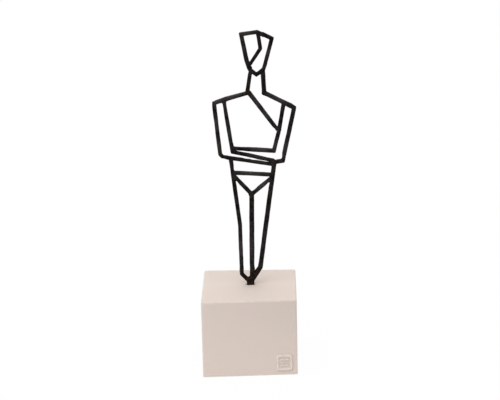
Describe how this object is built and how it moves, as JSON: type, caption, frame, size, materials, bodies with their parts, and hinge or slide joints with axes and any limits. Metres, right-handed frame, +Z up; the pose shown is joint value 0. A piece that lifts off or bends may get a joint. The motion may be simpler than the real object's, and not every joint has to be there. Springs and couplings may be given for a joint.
{
  "type": "cycladic idol sculpture",
  "caption": "Standing folded-arm idol drawn as an open flat outline in thin black metal bars, set by its foot in a pale square cast-stone plinth.",
  "frame": {"origin": "centre of the plinth's underside, on the surface that the sculpture stands on", "axes": "+Z up, +X to the viewer's right; the figure and the plinth's stamped face look along -Y"},
  "size_m": [0.0733, 0.072, 0.2525],
  "materials": {
    "blackened_metal": "matt to satin black, lightly textured",
    "cast_stone": "matt, pale warm beige, cast and rubbed smooth"
  },
  "bodies": {
    "root": {"figure": "blackened_metal", "plinth": "cast_stone"}
  },
  "joints": []
}
